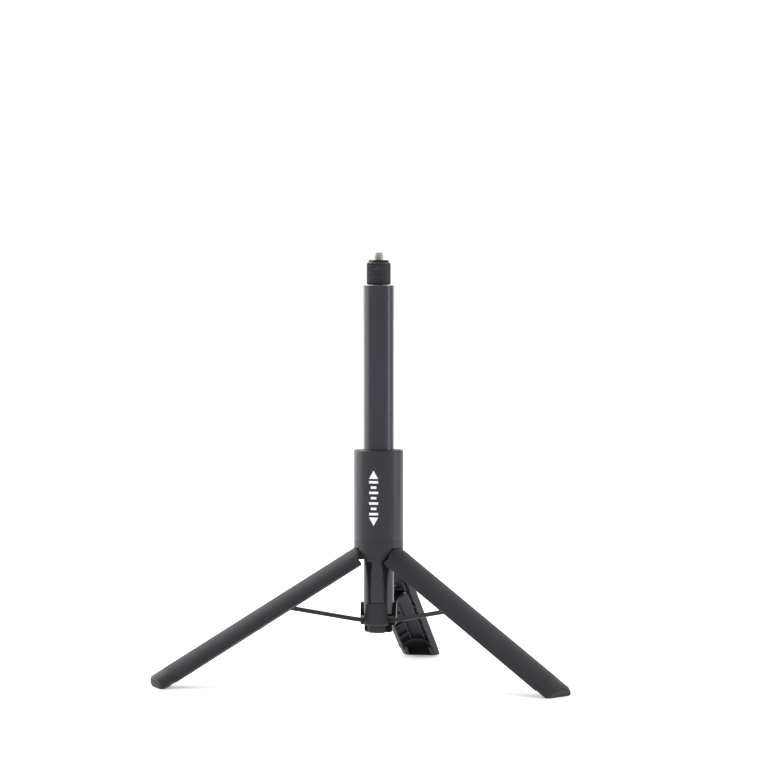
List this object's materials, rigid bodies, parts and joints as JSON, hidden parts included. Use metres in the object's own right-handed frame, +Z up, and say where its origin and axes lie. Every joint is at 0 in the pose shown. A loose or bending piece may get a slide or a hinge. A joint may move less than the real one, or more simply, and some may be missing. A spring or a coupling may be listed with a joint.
{
  "type": "selfie stick tripod",
  "caption": "Telescopic camera stick whose outer tube pushes down through the hub to fold three braced legs around it; knurled head with a camera screw.",
  "frame": {"origin": "on the floor, on the tube's axis, between the three feet of the open tripod", "axes": "+Z up along the tube; leg 1 points to +Y, legs 2 and 3 are 120 degrees to each side; the front tongue faces -Y"},
  "size_m": [0.2644, 0.2325, 0.2708],
  "materials": {
    "sleeve": "black satin, anodised look",
    "yoke": "fine matt",
    "tube": "dark grey anodised, satin",
    "inner_tube": "satin",
    "leg": "fine diamond texture",
    "liner": "matt",
    "foot": "matt",
    "rubber": "matt",
    "runner": "satin",
    "brace": "dark anodised, satin",
    "bush": "natural acetal",
    "collar": "dark anodised, knurled",
    "steel": "plain",
    "stud": "nickel plated"
  },
  "bodies": {
    "hub": {"hub_sleeve": "sleeve", "hub_yoke": "yoke", "wiper_ring": "rubber", "upper_bush": "bush", "lower_bush": "bush", "friction_ring": "rubber", "yoke_screws": "steel", "leg_pin_1": "steel", "leg_pin_2": "steel", "leg_pin_3": "steel"},
    "tube": {"outer_tube": "tube", "guide_ring_1": "bush", "runner": "runner", "runner_pins": "steel", "end_cap": "runner", "end_cap_screw": "steel"},
    "section_2": {"tube_2": "inner_tube", "slide_bush_2": "bush", "guide_ring_2": "bush"},
    "section_3": {"tube_3": "inner_tube", "slide_bush_3": "bush", "guide_ring_3": "bush"},
    "section_4": {"tube_4": "inner_tube", "slide_bush_4": "bush", "guide_ring_4": "bush"},
    "section_5": {"tube_5": "inner_tube", "slide_bush_5": "bush", "head_plug": "inner_tube", "retaining_ring": "steel"},
    "head": {"head_collar": "collar", "camera_screw": "stud", "head_pad": "rubber"},
    "leg_1": {"leg_shell_1": "leg", "leg_liner_1": "liner", "liner_screws_1": "steel", "foot_cap_1": "foot", "foot_pad_1": "rubber", "brace_pin_1": "steel"},
    "brace_1": {"brace_1": "brace"},
    "leg_2": {"leg_shell_2": "leg", "leg_liner_2": "liner", "liner_screws_2": "steel", "foot_cap_2": "foot", "foot_pad_2": "rubber", "brace_pin_2": "steel"},
    "brace_2": {"brace_2": "brace"},
    "leg_3": {"leg_shell_3": "leg", "leg_liner_3": "liner", "liner_screws_3": "steel", "foot_cap_3": "foot", "foot_pad_3": "rubber", "brace_pin_3": "steel"},
    "brace_3": {"brace_3": "brace"}
  },
  "joints": [
    {"name": "tube_slide", "type": "slide", "parent": "hub", "child": "tube", "axis": [0, 0, -1], "range_m": [0, 0.08528]},
    {"name": "leg_1_hinge", "type": "hinge", "parent": "hub", "child": "leg_1", "pos_m": [0, 0.012, 0.0819], "axis": [-1, 0, 0], "range_deg": [0, 60]},
    {"name": "brace_1_hinge", "type": "hinge", "parent": "leg_1", "child": "brace_1", "pos_m": [0, 0.06989, 0.04917], "axis": [1, 0, 0], "range_deg": [0, 137.92]},
    {"name": "leg_2_hinge", "type": "hinge", "parent": "hub", "child": "leg_2", "pos_m": [-0.01039, -0.006, 0.0819], "axis": [0.5, -0.866, 0], "range_deg": [0, 60]},
    {"name": "brace_2_hinge", "type": "hinge", "parent": "leg_2", "child": "brace_2", "pos_m": [-0.06053, -0.03495, 0.04917], "axis": [-0.5, 0.866, 0], "range_deg": [0, 137.92]},
    {"name": "leg_3_hinge", "type": "hinge", "parent": "hub", "child": "leg_3", "pos_m": [0.01039, -0.006, 0.0819], "axis": [0.5, 0.866, 0], "range_deg": [0, 60]},
    {"name": "brace_3_hinge", "type": "hinge", "parent": "leg_3", "child": "brace_3", "pos_m": [0.06053, -0.03495, 0.04917], "axis": [-0.5, -0.866, 0], "range_deg": [0, 137.92]},
    {"name": "section_2_slide", "type": "slide", "parent": "tube", "child": "section_2", "axis": [0, 0, 1], "range_m": [0, 0.189]},
    {"name": "section_3_slide", "type": "slide", "parent": "section_2", "child": "section_3", "axis": [0, 0, 1], "range_m": [0, 0.189]},
    {"name": "section_4_slide", "type": "slide", "parent": "section_3", "child": "section_4", "axis": [0, 0, 1], "range_m": [0, 0.189]},
    {"name": "section_5_slide", "type": "slide", "parent": "section_4", "child": "section_5", "axis": [0, 0, 1], "range_m": [0, 0.189]},
    {"name": "head_swivel", "type": "hinge", "parent": "section_5", "child": "head", "pos_m": [0, 0, 0.262], "axis": [0, 0, 1], "continuous": true}
  ],
  "couplings": [
    {"joint": "leg_1_hinge", "follows": "tube_slide", "rad_per_m": 12.28},
    {"joint": "brace_1_hinge", "follows": "tube_slide", "rad_per_m": 28.229},
    {"joint": "leg_2_hinge", "follows": "tube_slide", "rad_per_m": 12.28},
    {"joint": "brace_2_hinge", "follows": "tube_slide", "rad_per_m": 28.229},
    {"joint": "leg_3_hinge", "follows": "tube_slide", "rad_per_m": 12.28},
    {"joint": "brace_3_hinge", "follows": "tube_slide", "rad_per_m": 28.229}
  ]
}
